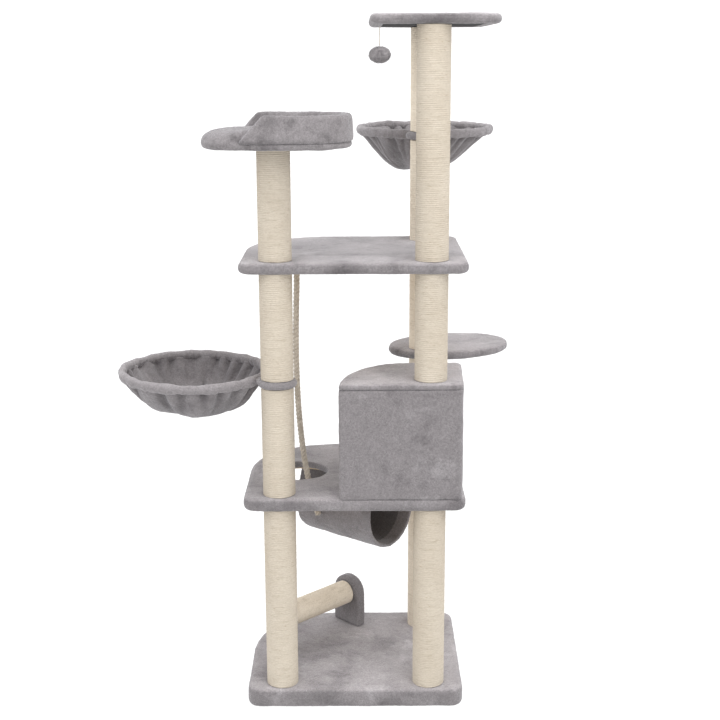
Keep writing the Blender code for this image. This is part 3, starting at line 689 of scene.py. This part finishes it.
def basket_section(s, depth, belly):
    """(radius, drop) of the cloth's middle surface, s from 0 at the ring to 1 near the middle."""
    high, middle, low = (HAMMOCK_R * share for share in belly)
    half = BASKET_THICKNESS / 2
    knots = [
        (HAMMOCK_R, 0.004), (high - half, 0.024), (middle - half, depth * 0.68 - half),
        (low, depth * 0.94 - half), (low * 0.5, depth - 0.004), (0.006, depth - 0.003),
    ]
    place = s * (len(knots) - 1)
    k = min(int(place), len(knots) - 2)
    t = place - k
    before, after = knots[max(k - 1, 0)], knots[min(k + 2, len(knots) - 1)]
    return tuple(catmull_rom(*values, t) for values in zip(before, knots[k], knots[k + 1], after))


def mesh_object_mixed(name, points, faces):
    """As mesh_object, for faces of different sizes."""
    mesh = bpy.data.meshes.new(name)
    mesh.from_pydata([tuple(map(float, p)) for p in points], [], faces)
    mesh.update()
    return link(bpy.data.objects.new(name, mesh))


CLOTH_FRAMES = 26
CLOTH_QUALITY = 6
CLOTH_MASS = 0.25
CLOTH_BENDING = 0.25
CLOTH_STRETCH = 12
CLOTH_GRAVITY = 0.5
CLOTH_HELD = -0.014       # the cloth is sewn fast above this level
CLOTH_SLOPE = -0.8        # how far the outward direction points down for each metre outwards
CLOTH_GROWTH = -0.13      # the cloth is cut this much larger than the bowl it fills
CLOTH_CAP = 0.016         # how far a point may move inwards from where it starts
CLOTH_OUT = 0.15          # share of an outward move that is kept, for the ring and threads hold it


def crumple(obj):
    """Lets the cloth, cut larger than its bowl, buckle and sag into folds under its own weight."""
    start = np.empty(len(obj.data.vertices) * 3)
    obj.data.vertices.foreach_get("co", start)
    start = start.reshape(-1, 3)
    pinned = obj.vertex_groups.new(name="rim")
    for i in np.nonzero(start[:, 2] > CLOTH_HELD)[0]:
        pinned.add([int(i)], 1.0, "REPLACE")
    cloth = obj.modifiers.new("cloth", "CLOTH")
    settings = cloth.settings
    settings.vertex_group_mass = "rim"
    settings.quality = CLOTH_QUALITY
    settings.mass = CLOTH_MASS
    settings.bending_stiffness = CLOTH_BENDING
    settings.tension_stiffness = settings.compression_stiffness = settings.shear_stiffness = CLOTH_STRETCH
    settings.shrink_min = settings.shrink_max = CLOTH_GROWTH
    settings.effector_weights.gravity = CLOTH_GRAVITY
    cloth.collision_settings.use_collision = False
    moved = run_cloth(obj, cloth, CLOTH_FRAMES)
    shift = moved - start
    radius = np.maximum(np.hypot(start[:, 0], start[:, 1]), 1e-6)
    normal = np.stack([start[:, 0] / radius, start[:, 1] / radius, np.full(len(start), CLOTH_SLOPE)], axis=1)
    normal *= (1 / np.linalg.norm(normal, axis=1))[:, None]
    outward = (shift * normal).sum(axis=1)
    shift -= normal * (np.maximum(outward, 0) * (1 - CLOTH_OUT))[:, None]
    distance = np.linalg.norm(shift, axis=1)
    shift *= np.minimum(1.0, CLOTH_CAP / np.maximum(distance, 1e-9))[:, None]
    obj.data.vertices.foreach_set("co", (start + shift).ravel())
    obj.data.update()


def run_cloth(obj, cloth, frames):
    """Steps the scene and returns where the cloth's points end up; the modifier is removed."""
    scene = bpy.context.scene
    cloth.point_cache.frame_start = 1
    cloth.point_cache.frame_end = frames
    for number in range(1, frames + 1):
        scene.frame_set(number)
    evaluated = obj.evaluated_get(bpy.context.evaluated_depsgraph_get())
    moved = np.empty(len(obj.data.vertices) * 3)
    evaluated.data.vertices.foreach_get("co", moved)
    obj.modifiers.clear()
    scene.frame_set(1)
    return moved.reshape(-1, 3)


def hem(name, matrix, seed):
    """The gathered plush tunnel round the ring, hanging a little inside and below the wire."""
    rng = np.random.default_rng(seed)
    theta = 2 * math.pi * np.arange(HEM_STEPS) / HEM_STEPS
    puff = uneven(theta, rng, (9, 14, 21, 29))
    crease = uneven(theta, rng, (31, 44, 58, 71))
    dip = uneven(theta, rng, (3, 5, 8))
    points, faces = [], []
    for i in range(HEM_STEPS):
        for j in range(HEM_SIDES):
            a = 2 * math.pi * j / HEM_SIDES
            under = max(0.0, -math.sin(a))
            inward = 0.5 + 0.5 * math.cos(a + HEM_CREASE_AT)
            r = HEM_R * (HEM_FULL + HEM_PUFF * puff[i] + HEM_CREASE * crease[i] * inward)
            low = 1.0 + under * (HEM_DROOP + HEM_DROOP / 2 * dip[i])
            out = HAMMOCK_R + r * math.cos(a)
            points.append((out * math.cos(theta[i]), out * math.sin(theta[i]),
                           r * low * math.sin(a) + HEM_WANDER * dip[i]))
            nxt = (i + 1) % HEM_STEPS
            k = (j + 1) % HEM_SIDES
            faces.append((i * HEM_SIDES + j, nxt * HEM_SIDES + j, nxt * HEM_SIDES + k, i * HEM_SIDES + k))
    obj = mesh_object(name, points, faces)
    subdivide(obj)
    obj.data.transform(matrix)
    return roughen(obj, 0.0018, 0.0022)


NECK_STEPS = 14
NECK_SIDES = 24
NECK_HALF_WIDTH = 0.036
NECK_WAIST = 0.014
NECK_HALF_HEIGHT = 0.0105
NECK_VOXEL, NECK_SMOOTHING = 0.002, 5


def neck(name, matrix):
    """The plush sleeve from the ring to the collar, flared where it meets either of them."""
    start, end = HAMMOCK_R - 0.004, HAMMOCK_REACH - COLLAR_R + 0.014
    points, faces = [], []
    for i in range(NECK_STEPS + 1):
        t = i / NECK_STEPS
        waist = math.sin(math.pi * t) ** 1.3
        half_w = NECK_HALF_WIDTH - NECK_WAIST * waist - 0.002 * t
        half_h = NECK_HALF_HEIGHT - 0.0022 * waist
        for j in range(NECK_SIDES):
            a = 2 * math.pi * j / NECK_SIDES
            points.append((start + (end - start) * t, half_w * math.cos(a), half_h * math.sin(a)))
    for i in range(NECK_STEPS):
        for j in range(NECK_SIDES):
            k = (j + 1) % NECK_SIDES
            row, nxt = i * NECK_SIDES, (i + 1) * NECK_SIDES
            faces.append((row + j, row + k, nxt + k, nxt + j))
    ends = [list(range(NECK_SIDES))[::-1], [NECK_STEPS * NECK_SIDES + j for j in range(NECK_SIDES)]]
    obj = mesh_object_mixed(name, points, faces + ends)
    remesh_smooth(obj, NECK_VOXEL, NECK_SMOOTHING)
    obj.data.transform(matrix)
    return roughen(obj, 0.0012, 0.0012)


COLLAR_ROUND = {"left_hammock": 0.0525, "upper_hammock": 0.0565}    # radius of the plush round the collar
COLLAR_ROLL = 0.0102
COLLAR_HOLE_R = 0.012
COLLAR_BENDS, COLLAR_STEPS = 12, 120
COLLAR_PRESS = 0.0004
COLLAR_FREE = 0.001


def collar(node, radius):
    """The plush-covered disc between two posts, with a fully rounded edge."""
    low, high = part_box(node)
    middle, half = (low.z + high.z) / 2, (high.z - low.z) / 2
    centre = Vector(((low.x + high.x) / 2, (low.y + high.y) / 2, middle))
    section = [(COLLAR_HOLE_R, half)]
    for i in range(COLLAR_BENDS + 1):
        a = math.pi / 2 - math.pi * i / COLLAR_BENDS
        section.append((radius - COLLAR_ROLL + COLLAR_ROLL * math.cos(a), COLLAR_ROLL * math.sin(a)))
    section.append((COLLAR_HOLE_R, -half))
    pressed = half + COLLAR_PRESS       # under the posts the plush is pressed flat
    section = [(r, min(max(z, -pressed), pressed) if r < POST_R + COLLAR_FREE else z) for r, z in section]
    steps, n = COLLAR_STEPS, len(section)
    points = [(r * math.cos(2 * math.pi * i / steps), r * math.sin(2 * math.pi * i / steps), z)
              for i in range(steps) for r, z in section]
    faces = [(i * n + j, ((i + 1) % steps) * n + j, ((i + 1) % steps) * n + (j + 1) % n, i * n + (j + 1) % n)
             for i in range(steps) for j in range(n)]
    obj = mesh_object(node + "_roll", points, faces)
    subdivide(obj)
    obj.data.transform(Matrix.Translation(centre))
    stand_for(dress(roughen(obj, 0.0014, 0.0012), PLUSH), node)


def hammocks():
    for k, (name, (pivot, angle, depth, belly)) in enumerate(HAMMOCKS.items()):
        matrix = ring_frame(pivot, angle)
        bowl = basket(name + "_cloth", matrix, depth, belly, LEAN[name], SEED + k)
        cloth = dress(bowl, PLUSH_CLOTH_PAINTED_LIGHT)
        rim = dress(hem(name + "_hem", matrix, SEED + 20 + k), PLUSH_HEM)
        sleeve = dress(neck(name + "_neck", matrix), PLUSH_HEM)
        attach(cloth, name)
        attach(rim, name)
        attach(sleeve, name)
        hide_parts(name + "_basket")
        collar(name + "_collar", COLLAR_ROUND[name])


# ---------------------------------------------------------------- lounge
LOUNGE_CENTRE = (-0.194, -0.206)
LOUNGE_SEMI = (0.194, 0.140)
LOUNGE_POWER = 2.5
LOUNGE_STEPS = 96
NOSE_FROM, NOSE_TO = -0.312, -0.276     # the pad reaches the rim left of here, and stays inside right of here
PAD_VOXEL = 0.0040
PAD_FRAMES = 14
PAD_CAP = 0.006
PAD_PRESSURE = 4.0
PAD_QUALITY = 4
BASE_SMOOTHING, PAD_SMOOTHING = 5, 8
PAD_PILE, PAD_WAVES = 0.0015, 0.0040
BASE_FILL, BOLSTER_FILL = 0.6, 0.7


def lounge_loop(inset, height):
    """One ring of the long oval; inset depends on x."""
    ring = []
    for i in range(LOUNGE_STEPS):
        angle = 2 * math.pi * i / LOUNGE_STEPS
        c, s = math.cos(angle), math.sin(angle)
        c, s = (math.copysign(abs(v) ** (2 / LOUNGE_POWER), v) for v in (c, s))
        x = LOUNGE_CENTRE[0] + LOUNGE_SEMI[0] * c
        d = inset(x)
        ring.append((LOUNGE_CENTRE[0] + (LOUNGE_SEMI[0] - d) * c,
                     LOUNGE_CENTRE[1] + (LOUNGE_SEMI[1] - d) * s, height))
    return ring


def stack(rings):
    """Points and faces of a closed solid through rings of equal length, bottom to top."""
    n = len(rings[0])
    points = [p for ring in rings for p in ring]
    faces = [(k * n + j, k * n + (j + 1) % n, (k + 1) * n + (j + 1) % n, (k + 1) * n + j)
             for k in range(len(rings) - 1) for j in range(n)]
    top = (len(rings) - 1) * n
    return points, faces + [tuple(range(n))[::-1], tuple(top + j for j in range(n))]


def nose(x):
    """1 where no bolster covers the rim, 0 under the bolster."""
    return min(1.0, max(0.0, (NOSE_TO - x) / (NOSE_TO - NOSE_FROM)))


def lounge_base():
    """The thin plate and the pad on it, in one plush cover: a thick round lip at the open end."""
    (_, plate_low), (_, plate_high) = ((p.y, p.z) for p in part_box("lounge_plate"))
    seat_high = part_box("lounge_seat")[1].z
    skirt = lambda x: 0.003
    rings = [
        lounge_loop(lambda x: 0.012, plate_low),
        lounge_loop(lambda x: 0.005, plate_low + 0.003),
        lounge_loop(skirt, plate_low + 0.008),
        lounge_loop(lambda x: 0.004 - 0.003 * nose(x), plate_high),
        lounge_loop(lambda x: 0.016 - 0.013 * nose(x), plate_high + 0.006),
        lounge_loop(lambda x: 0.018 - 0.012 * nose(x), plate_high + 0.014),
        lounge_loop(lambda x: 0.020 - 0.005 * nose(x), seat_high - 0.011),
        lounge_loop(lambda x: 0.022 + 0.006 * nose(x), seat_high - 0.004),
        lounge_loop(lambda x: 0.034 + 0.014 * nose(x), seat_high),
        lounge_loop(lambda x: 0.080, seat_high + 0.003),
    ]
    obj = mesh_object_mixed("lounge_base_pad", *stack(rings))
    remesh_smooth(obj, PAD_VOXEL, BASE_SMOOTHING)
    return finish_pad(obj, BASE_FILL, "lounge_seat", "lounge_plate")


def lounge_bolster():
    obj = remeshed("lounge_bolster", "lounge_bolster_pad", PAD_VOXEL, PAD_SMOOTHING)
    inflate(obj)
    return finish_pad(obj, BOLSTER_FILL, "lounge_bolster")


def finish_pad(obj, fill, *nodes):
    subdivide(obj)
    roughen(obj, PAD_PILE, PAD_WAVES)
    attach(dress(obj, PLUSH_PAD), body_of(nodes[0]))
    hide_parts(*nodes)
    return obj


def inflate(obj):
    """Blows a pad up a little by cloth pressure."""
    start = np.empty(len(obj.data.vertices) * 3)
    obj.data.vertices.foreach_get("co", start)
    start = start.reshape(-1, 3)
    cloth = obj.modifiers.new("cloth", "CLOTH")
    settings = cloth.settings
    settings.use_pressure = True
    settings.uniform_pressure_force = PAD_PRESSURE
    settings.effector_weights.gravity = 0.0
    settings.quality = PAD_QUALITY
    cloth.collision_settings.use_collision = False
    moved = run_cloth(obj, cloth, PAD_FRAMES)
    shift = moved - start
    distance = np.linalg.norm(shift, axis=1)
    shift *= np.minimum(1.0, PAD_CAP / np.maximum(distance, 1e-9))[:, None]
    obj.data.vertices.foreach_set("co", (start + shift).ravel())
    obj.data.update()


def lounge():
    lounge_base()
    lounge_bolster()


# ---------------------------------------------------------------- rope, string and pom-pom
def smooth_route(points, spacing):
    """Points on a Catmull-Rom curve through the given points, about spacing apart."""
    route = [Vector(p) for p in points]
    ends = [2 * route[0] - route[1]] + route + [2 * route[-1] - route[-2]]
    result = []
    for a, b, c, d in zip(ends, ends[1:], ends[2:], ends[3:]):
        steps = max(1, round((c - b).length / spacing))
        for i in range(steps):
            t = i / steps
            result.append(catmull_rom(a, b, c, d, t))
    return result + [route[-1]]


STRANDS = 3
STRAND_SIDES = 10
STRAND_OFFSET = 0.0042
STRAND_R = 0.0046
TWIST_PITCH = 0.034
FRAY_FIBRES = 60
FRAY_LENGTH = 0.0085


def strand_tubes(route, strands, offset, radius, pitch, sides):
    """Points, faces and UVs of strands twisted about a route."""
    points, faces, uvs = [], [], []
    side = Vector((1, 0, 0))
    travelled = [0.0]
    for a, b in zip(route, route[1:]):
        travelled.append(travelled[-1] + (b - a).length)
    for strand in range(strands):
        base = len(points)
        for i, place in enumerate(route):
            ahead = (route[min(i + 1, len(route) - 1)] - route[max(i - 1, 0)]).normalized()
            u = (side - ahead * side.dot(ahead)).normalized()
            v = ahead.cross(u)
            turn = 2 * math.pi * (travelled[i] / pitch + strand / strands)
            out = u * math.cos(turn) + v * math.sin(turn)
            round_way = v * math.cos(turn) - u * math.sin(turn)
            lean = (ahead + round_way * (2 * math.pi * offset / pitch)).normalized()
            w = lean.cross(out)
            for j in range(sides):
                a = 2 * math.pi * j / sides
                points.append(place + out * (offset + radius * math.cos(a)) + w * (radius * math.sin(a)))
        for i in range(len(route) - 1):
            for j in range(sides):
                k = (j + 1) % sides
                faces.append((base + i * sides + j, base + i * sides + k,
                              base + (i + 1) * sides + k, base + (i + 1) * sides + j))
                low, high = travelled[i], travelled[i + 1]
                edge, far = 0.01 * j / sides, 0.01 * (j + 1) / sides
                uvs += [(low, edge), (low, far), (high, far), (high, edge)]
        for ring in (range(sides), range((len(route) - 1) * sides, len(route) * sides)):
            ring = [base + r for r in ring]
            centre = len(points)
            points.append(sum((points[r] for r in ring), Vector()) / sides)
            order = ring if ring[0] != base else ring[::-1]
            for a, b in zip(order, order[1:] + order[:1]):
                faces.append((a, b, centre))
                uvs += [(0, 0), (0, 0.01), (0, 0.005)]
    return points, faces, uvs


def fibre(points, faces, uvs, root, direction, length, width):
    """One thin tapered blade with three sides."""
    direction = direction.normalized()
    u = direction.orthogonal().normalized()
    v = direction.cross(u)
    base = len(points)
    for j in range(3):
        a = 2 * math.pi * j / 3
        points.append(root + (u * math.cos(a) + v * math.sin(a)) * width)
    points.append(root + direction * length)
    for j in range(3):
        faces.append((base + j, base + (j + 1) % 3, base + 3))
        uvs += [(0, 0), (0, 0.002), (length, 0.001)]


def rope():
    route = smooth_route(ROPE_POINTS, 0.0025)
    points, faces, uvs = strand_tubes(route, STRANDS, STRAND_OFFSET, STRAND_R, TWIST_PITCH, STRAND_SIDES)
    rng = np.random.default_rng(SEED)
    tip, ahead = route[-1], (route[-1] - route[-2]).normalized()
    for _ in range(FRAY_FIBRES):
        spread = Vector(rng.normal(0, 0.42, 3))
        root = tip + (spread - ahead * spread.dot(ahead)) * 0.007 - ahead * 0.002
        fibre(points, faces, uvs, root, ahead + spread * 0.6, FRAY_LENGTH * rng.uniform(0.6, 1.0), 0.0006)
    obj = mesh_object_mixed("rope_twist", points, faces)
    obj.data.uv_layers.new(name="UVMap").data.foreach_set("uv", np.array(uvs, float).ravel())
    stand_for(dress(obj, ROPE), "rope")


POM_FIBRES = 5200
POM_FIBRE = 0.0065


def pompom():
    x, y = POM_XY
    route = [Vector((x, y, STRING_TOP + (STRING_BOTTOM - STRING_TOP) * i / 40)) for i in range(41)]
    points, faces, uvs = strand_tubes(route, 2, STRING_R * 0.45, STRING_R * 0.6, 0.006, 8)
    string = mesh_object_mixed("pompom_string_twist", points, faces)
    string.data.uv_layers.new(name="UVMap").data.foreach_set("uv", np.array(uvs, float).ravel())
    stand_for(dress(string, STRING), "pompom_string")

    rng = np.random.default_rng(SEED + 3)
    centre = Vector((x, y, STRING_BOTTOM - POM_GAP - POM_SEMI[2]))
    core = [c - POM_FIBRE * 0.75 for c in POM_SEMI]
    bpy.ops.mesh.primitive_ico_sphere_add(subdivisions=5, radius=1.0)
    ball = bpy.context.object
    ball.name = "pompom_fluff"
    ball.data.transform(Matrix.Translation(centre) @ Matrix.Diagonal((*[c * 1.12 for c in core], 1.0)))
    points, faces, uvs = [], [], []
    for _ in range(POM_FIBRES):
        normal = Vector(rng.normal(0, 1, 3)).normalized()
        root = centre + Vector(n * c for n, c in zip(normal, core))
        lean = normal + Vector(rng.normal(0, 0.30, 3))
        fibre(points, faces, uvs, root, lean, POM_FIBRE * rng.uniform(0.75, 1.15), 0.00042)
    fluff = mesh_object_mixed("fluff", points, faces)
    roughen(ball, 0.0030, 0.0030)
    join(ball, fluff)
    stand_for(dress(ball, PLUSH_FLUFF), "pompom")


def join(obj, other):
    """Adds another mesh to obj."""
    both = bmesh.new()
    both.from_mesh(obj.data)
    both.from_mesh(other.data)
    both.to_mesh(obj.data)
    both.free()
    bpy.data.objects.remove(other, do_unlink=True)


# ---------------------------------------------------------------- boards, cave and tunnel
def plush_pieces():
    for node in ("base_cover", "lower_platform_cover", "mid_platform_cover"):
        plush_skin(node, 0.0034, 4, material=PLUSH_TOP)
    for node in ("top_platform_cover", "round_step_cover", "box_top_cover"):
        plush_skin(node, 0.0030, 4, material=PLUSH_TOP)
    walls = plush_skin("box_walls", 0.0030, 3, 0.0009, 0.0030)
    press_into(walls, 0.0025)
    tunnel = plush_skin("tunnel_shell", 0.0028, 4, 0.0014, 0.0040)
    line_tunnel(tunnel)


TUNNEL_LINE = ((-0.107, 0.056), (0.101, -0.115), 0.518)    # two points of its axis, and its height
MOUTH_SHARE = 0.86        # the inside is painted with shade up to this share of the way to the mouth


def line_tunnel(tunnel):
    """Paints shade inside the tunnel: the faces there get the darker copy of the pile."""
    tunnel.data.materials.append(PLUSH_SHADED)
    (ax, ay), (bx, by), height = TUNNEL_LINE
    start, axis = Vector((ax, ay, height)), Vector((bx - ax, by - ay, 0))
    length = axis.length
    axis.normalize()
    for face in tunnel.data.polygons:
        out = face.center - start
        along = out.dot(axis)
        out -= axis * along
        if face.normal.dot(out) < -0.3 * out.length and along < length * MOUTH_SHARE:
            face.material_index = 1


def press_into(obj, reach):
    """Stretches a vertical piece so that its soft edges sink into what it stands between."""
    heights = [v.co.z for v in obj.data.vertices]
    low, high = min(heights), max(heights)
    middle, half = (low + high) / 2, (high - low) / 2
    factor = (half + reach) / half
    for v in obj.data.vertices:
        v.co.z = middle + (v.co.z - middle) * factor


def carried_nodes():
    """Materials of the CAD nodes that stay as they are."""
    for name, obj in frame["nodes"].items():
        kind = None
        if name.endswith("_core"):
            kind = CARDBOARD
        elif name.endswith("_board") or name == "rope_cup":
            kind = BOARD
        elif name == "top_platform_liner":
            kind = LINER
        elif name.endswith("_frame") or name == "pompom_staple":
            kind = STEEL
        if kind:
            obj.data.materials.clear()
            obj.data.materials.append(kind)


camera()
studio()
rope()
pompom()
wound_posts()
roller()
hammocks()
lounge()
plush_pieces()
carried_nodes()
bpy.context.view_layer.update()
